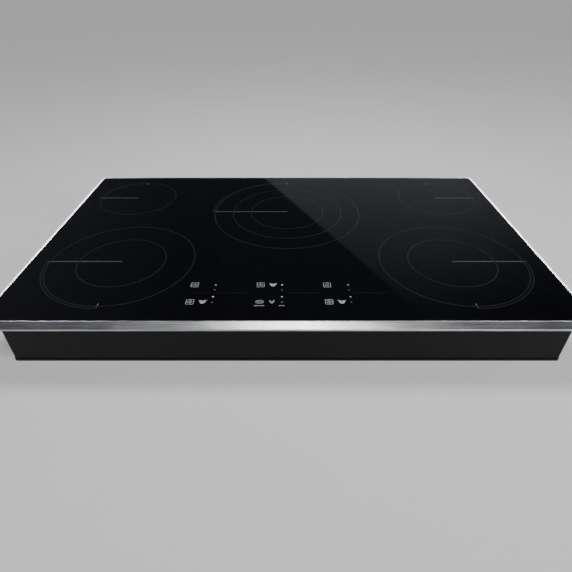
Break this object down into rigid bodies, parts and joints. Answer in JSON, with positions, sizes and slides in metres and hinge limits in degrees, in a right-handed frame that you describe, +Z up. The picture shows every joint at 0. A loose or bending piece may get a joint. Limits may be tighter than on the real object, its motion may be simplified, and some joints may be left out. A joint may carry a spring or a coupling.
{
  "type": "induction cooktop",
  "caption": "Built-in electric cooktop: black glass in a thin metal frame over a black steel chassis with cooking coils, blowers and touch controls.",
  "frame": {"origin": "middle of the chassis underside", "axes": "+Z up, -Y towards the front trim and the user, +X to the user's right"},
  "size_m": [0.9144, 0.562, 0.0923],
  "materials": {
    "black_glass": "polished",
    "satin_aluminium": "brushed",
    "silicone": "matte",
    "zinc_steel": "zinc plated",
    "foam_tape": "matte",
    "black_steel": "satin",
    "deck_aluminium": "mill",
    "black_moulding": "matte",
    "copper_litz": "enamelled",
    "ferrite": "matte",
    "mica": "matte",
    "spring_steel": "bright",
    "circuit_board": "semi-gloss",
    "component_case": "matte",
    "lead_sleeve": "matte",
    "nylon": "semi-gloss",
    "screw_steel": "zinc plated"
  },
  "bodies": {
    "cooktop": {"board_standoffs": "nylon", "bond_seal": "silicone", "bottom_cover": "black_steel", "cable_gland": "black_moulding", "capacitors": "component_case", "carrier_springs": "spring_steel", "case_screws": "screw_steel", "centre_carrier": "black_moulding", "centre_mica": "mica", "centre_windings": "copper_litz", "chassis_frame": "black_steel", "clamp_brackets": "zinc_steel", "coil_deck": "deck_aluminium", "coil_leads": "lead_sleeve", "control_board": "circuit_board", "control_tray": "black_moulding", "ferrite_bars": "ferrite", "filter_board": "circuit_board", "filter_chokes": "copper_litz", "front_trim": "satin_aluminium", "gland_nut": "black_moulding", "glass_top": "black_glass", "left_blower_case": "black_moulding", "left_blower_lid": "black_moulding", "left_blower_stator": "zinc_steel", "left_front_carrier": "black_moulding", "left_front_mica": "mica", "left_front_windings": "copper_litz", "left_heatsink": "deck_aluminium", "left_power_board": "circuit_board", "left_rear_carrier": "black_moulding", "left_rear_mica": "mica", "left_rear_windings": "copper_litz", "left_trim": "satin_aluminium", "mounting_frame": "zinc_steel", "rear_trim": "satin_aluminium", "right_blower_case": "black_moulding", "right_blower_lid": "black_moulding", "right_blower_stator": "zinc_steel", "right_front_carrier": "black_moulding", "right_front_mica": "mica", "right_front_windings": "copper_litz", "right_heatsink": "deck_aluminium", "right_power_board": "circuit_board", "right_rear_carrier": "black_moulding", "right_rear_mica": "mica", "right_rear_windings": "copper_litz", "right_trim": "satin_aluminium", "temperature_sensors": "component_case", "terminal_block": "nylon", "touch_pads": "foam_tape", "transistors": "component_case", "worktop_gasket": "foam_tape"},
    "left_rotor": {"left_blower_rotor": "black_moulding"},
    "left_foot": {"left_clamp_foot": "zinc_steel"},
    "left_screw": {"left_clamp_screw": "screw_steel"},
    "right_rotor": {"right_blower_rotor": "black_moulding"},
    "right_foot": {"right_clamp_foot": "zinc_steel"},
    "right_screw": {"right_clamp_screw": "screw_steel"}
  },
  "joints": [
    {"name": "left_rotor_spin", "type": "hinge", "parent": "cooktop", "child": "left_rotor", "pos_m": [-0.306, -0.165, 0.02], "axis": [0, 0, 1], "continuous": true},
    {"name": "left_foot_travel", "type": "slide", "parent": "cooktop", "child": "left_foot", "axis": [0, 0, 1], "range_m": [0, 0.02]},
    {"name": "left_screw_turn", "type": "hinge", "parent": "left_foot", "child": "left_screw", "pos_m": [-0.4472, 0.15, 0.03], "axis": [0, 0, 1], "range_deg": [0, 9001]},
    {"name": "right_rotor_spin", "type": "hinge", "parent": "cooktop", "child": "right_rotor", "pos_m": [0.306, -0.165, 0.02], "axis": [0, 0, 1], "continuous": true},
    {"name": "right_foot_travel", "type": "slide", "parent": "cooktop", "child": "right_foot", "axis": [0, 0, 1], "range_m": [0, 0.02]},
    {"name": "right_screw_turn", "type": "hinge", "parent": "right_foot", "child": "right_screw", "pos_m": [0.4472, 0.15, 0.03], "axis": [0, 0, 1], "range_deg": [0, 9001]}
  ],
  "couplings": [
    {"joint": "left_screw_turn", "follows": "left_foot_travel", "rad_per_m": 7854},
    {"joint": "right_screw_turn", "follows": "right_foot_travel", "rad_per_m": 7854}
  ]
}
